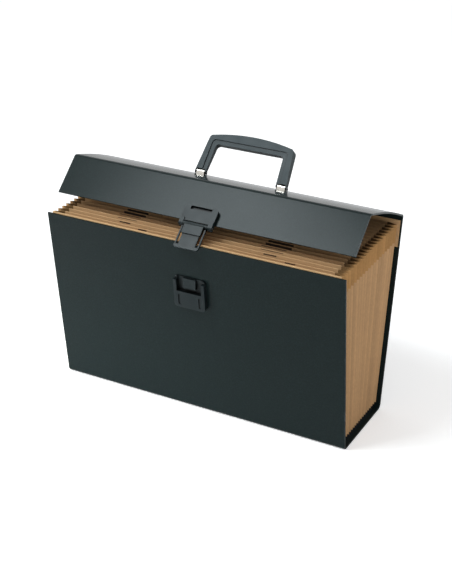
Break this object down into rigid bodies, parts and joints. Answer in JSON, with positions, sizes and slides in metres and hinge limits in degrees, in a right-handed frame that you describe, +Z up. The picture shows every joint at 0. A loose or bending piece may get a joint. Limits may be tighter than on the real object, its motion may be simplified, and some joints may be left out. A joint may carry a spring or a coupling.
{
  "type": "expanding file case",
  "caption": "Expanding file case with pleated kraft pockets, a board cover with a lid and flap, a hook latch and a carrying handle, shown standing partly open.",
  "frame": {"origin": "middle of the base's underside, on the surface that the case stands on", "axes": "+X along the width to the right as seen from the front, +Y to the back, +Z up"},
  "size_m": [0.38, 0.1728, 0.3052],
  "materials": {
    "cover_board": "satin black grained cover",
    "base_board": "black board",
    "kraft_paper": "brown kraft paper",
    "divider_paper": "brown kraft paper",
    "edge_tape": "orange-brown binding tape",
    "handle_plastic": "moulded satin black",
    "latch_plastic": "moulded satin black",
    "chrome": "bright plated",
    "steel": "plain zinc"
  },
  "bodies": {
    "base": {"base_panel": "cover_board", "base_block": "base_board", "left_gusset": "kraft_paper", "right_gusset": "kraft_paper", "left_tape": "edge_tape", "right_tape": "edge_tape"},
    "front": {"front_panel": "cover_board", "front_wall": "kraft_paper", "keeper": "latch_plastic", "keeper_backplate": "steel"},
    "back": {"back_panel": "cover_board", "back_wall": "kraft_paper"},
    "divider_01": {"divider_01": "divider_paper"},
    "divider_02": {"divider_02": "divider_paper"},
    "divider_03": {"divider_03": "divider_paper"},
    "divider_04": {"divider_04": "divider_paper"},
    "divider_05": {"divider_05": "divider_paper"},
    "divider_06": {"divider_06": "divider_paper"},
    "divider_07": {"divider_07": "divider_paper"},
    "divider_08": {"divider_08": "divider_paper"},
    "divider_09": {"divider_09": "divider_paper"},
    "divider_10": {"divider_10": "divider_paper"},
    "divider_11": {"divider_11": "divider_paper"},
    "divider_12": {"divider_12": "divider_paper"},
    "divider_13": {"divider_13": "divider_paper"},
    "divider_14": {"divider_14": "divider_paper"},
    "divider_15": {"divider_15": "divider_paper"},
    "divider_16": {"divider_16": "divider_paper"},
    "divider_17": {"divider_17": "divider_paper"},
    "divider_18": {"divider_18": "divider_paper"},
    "lid_fold": {"lid_fold": "cover_board"},
    "lid": {"lid_panel": "cover_board", "handle_loops": "chrome", "handle_backing_plates": "steel"},
    "handle": {"handle_grip": "handle_plastic", "handle_pins": "steel"},
    "flap_fold": {"flap_fold": "cover_board"},
    "flap": {"flap_panel": "cover_board", "latch_plate": "latch_plastic", "latch_backplate": "steel", "hasp_pin": "steel"},
    "hasp": {"hasp": "latch_plastic"}
  },
  "joints": [
    {"name": "front_spread", "type": "hinge", "parent": "base", "child": "front", "pos_m": [0, -0.05371, 0.0058], "axis": [1, 0, 0], "range_deg": [-7, 6], "deforming": ["left_gusset", "right_gusset", "left_tape", "right_tape"]},
    {"name": "back_spread", "type": "hinge", "parent": "base", "child": "back", "pos_m": [0, 0.05371, 0.0058], "axis": [-1, 0, 0], "range_deg": [-7, 6]},
    {"name": "divider_01_tilt", "type": "hinge", "parent": "base", "child": "divider_01", "pos_m": [0, -0.0467, 0.0091], "axis": [1, 0, 0], "range_deg": [-6.26, 5.37]},
    {"name": "divider_02_tilt", "type": "hinge", "parent": "base", "child": "divider_02", "pos_m": [0, -0.04121, 0.0091], "axis": [1, 0, 0], "range_deg": [-5.53, 4.74]},
    {"name": "divider_03_tilt", "type": "hinge", "parent": "base", "child": "divider_03", "pos_m": [0, -0.03571, 0.0091], "axis": [1, 0, 0], "range_deg": [-4.79, 4.11]},
    {"name": "divider_04_tilt", "type": "hinge", "parent": "base", "child": "divider_04", "pos_m": [0, -0.03022, 0.0091], "axis": [1, 0, 0], "range_deg": [-4.05, 3.47]},
    {"name": "divider_05_tilt", "type": "hinge", "parent": "base", "child": "divider_05", "pos_m": [0, -0.02472, 0.0091], "axis": [1, 0, 0], "range_deg": [-3.32, 2.84]},
    {"name": "divider_06_tilt", "type": "hinge", "parent": "base", "child": "divider_06", "pos_m": [0, -0.01923, 0.0091], "axis": [1, 0, 0], "range_deg": [-2.58, 2.21]},
    {"name": "divider_07_tilt", "type": "hinge", "parent": "base", "child": "divider_07", "pos_m": [0, -0.01374, 0.0091], "axis": [1, 0, 0], "range_deg": [-1.84, 1.58]},
    {"name": "divider_08_tilt", "type": "hinge", "parent": "base", "child": "divider_08", "pos_m": [0, -0.00824, 0.0091], "axis": [1, 0, 0], "range_deg": [-1.11, 0.95]},
    {"name": "divider_09_tilt", "type": "hinge", "parent": "base", "child": "divider_09", "pos_m": [0, -0.00275, 0.0091], "axis": [1, 0, 0], "range_deg": [-0.369, 0.316]},
    {"name": "divider_10_tilt", "type": "hinge", "parent": "base", "child": "divider_10", "pos_m": [0, 0.00275, 0.0091], "axis": [1, 0, 0], "range_deg": [-0.316, 0.369]},
    {"name": "divider_11_tilt", "type": "hinge", "parent": "base", "child": "divider_11", "pos_m": [0, 0.00824, 0.0091], "axis": [1, 0, 0], "range_deg": [-0.95, 1.11]},
    {"name": "divider_12_tilt", "type": "hinge", "parent": "base", "child": "divider_12", "pos_m": [0, 0.01374, 0.0091], "axis": [1, 0, 0], "range_deg": [-1.58, 1.84]},
    {"name": "divider_13_tilt", "type": "hinge", "parent": "base", "child": "divider_13", "pos_m": [0, 0.01923, 0.0091], "axis": [1, 0, 0], "range_deg": [-2.21, 2.58]},
    {"name": "divider_14_tilt", "type": "hinge", "parent": "base", "child": "divider_14", "pos_m": [0, 0.02472, 0.0091], "axis": [1, 0, 0], "range_deg": [-2.84, 3.32]},
    {"name": "divider_15_tilt", "type": "hinge", "parent": "base", "child": "divider_15", "pos_m": [0, 0.03022, 0.0091], "axis": [1, 0, 0], "range_deg": [-3.47, 4.05]},
    {"name": "divider_16_tilt", "type": "hinge", "parent": "base", "child": "divider_16", "pos_m": [0, 0.03571, 0.0091], "axis": [1, 0, 0], "range_deg": [-4.11, 4.79]},
    {"name": "divider_17_tilt", "type": "hinge", "parent": "base", "child": "divider_17", "pos_m": [0, 0.04121, 0.0091], "axis": [1, 0, 0], "range_deg": [-4.74, 5.53]},
    {"name": "divider_18_tilt", "type": "hinge", "parent": "base", "child": "divider_18", "pos_m": [0, 0.0467, 0.0091], "axis": [1, 0, 0], "range_deg": [-5.37, 6.26]},
    {"name": "lid_fold_turn", "type": "hinge", "parent": "back", "child": "lid_fold", "pos_m": [0, 0.0822, 0.23785], "axis": [-1, 0, 0], "range_deg": [-13, 11.14]},
    {"name": "lid_hinge", "type": "hinge", "parent": "lid_fold", "child": "lid", "pos_m": [0, 0.08061, 0.24332], "axis": [-1, 0, 0], "range_deg": [0, 175]},
    {"name": "handle_swing", "type": "hinge", "parent": "lid", "child": "handle", "pos_m": [0, 0.04344, 0.26303], "axis": [1, 0, 0], "range_deg": [0, 106]},
    {"name": "flap_fold_turn", "type": "hinge", "parent": "lid", "child": "flap_fold", "pos_m": [0, -0.01681, 0.27771], "axis": [-1, 0, 0], "range_deg": [-13.71, 16]},
    {"name": "flap_hinge", "type": "hinge", "parent": "flap_fold", "child": "flap", "pos_m": [0, -0.02308, 0.27644], "axis": [-1, 0, 0], "range_deg": [0, 70]},
    {"name": "hasp_hinge", "type": "hinge", "parent": "flap", "child": "hasp", "pos_m": [0, -0.06445, 0.24319], "axis": [-1, 0, 0], "range_deg": [0, 75]}
  ],
  "couplings": [
    {"joint": "back_spread", "follows": "front_spread", "ratio": 1},
    {"joint": "divider_01_tilt", "follows": "front_spread", "ratio": 0.89474},
    {"joint": "divider_02_tilt", "follows": "front_spread", "ratio": 0.78947},
    {"joint": "divider_03_tilt", "follows": "front_spread", "ratio": 0.68421},
    {"joint": "divider_04_tilt", "follows": "front_spread", "ratio": 0.57895},
    {"joint": "divider_05_tilt", "follows": "front_spread", "ratio": 0.47368},
    {"joint": "divider_06_tilt", "follows": "front_spread", "ratio": 0.36842},
    {"joint": "divider_07_tilt", "follows": "front_spread", "ratio": 0.26316},
    {"joint": "divider_08_tilt", "follows": "front_spread", "ratio": 0.1579},
    {"joint": "divider_09_tilt", "follows": "front_spread", "ratio": 0.052632},
    {"joint": "divider_10_tilt", "follows": "front_spread", "ratio": -0.052632},
    {"joint": "divider_11_tilt", "follows": "front_spread", "ratio": -0.1579},
    {"joint": "divider_12_tilt", "follows": "front_spread", "ratio": -0.26316},
    {"joint": "divider_13_tilt", "follows": "front_spread", "ratio": -0.36842},
    {"joint": "divider_14_tilt", "follows": "front_spread", "ratio": -0.47368},
    {"joint": "divider_15_tilt", "follows": "front_spread", "ratio": -0.57895},
    {"joint": "divider_16_tilt", "follows": "front_spread", "ratio": -0.68421},
    {"joint": "divider_17_tilt", "follows": "front_spread", "ratio": -0.78947},
    {"joint": "divider_18_tilt", "follows": "front_spread", "ratio": -0.89474},
    {"joint": "lid_fold_turn", "follows": "front_spread", "ratio": 1.8571},
    {"joint": "flap_fold_turn", "follows": "front_spread", "ratio": -2.2857}
  ]
}
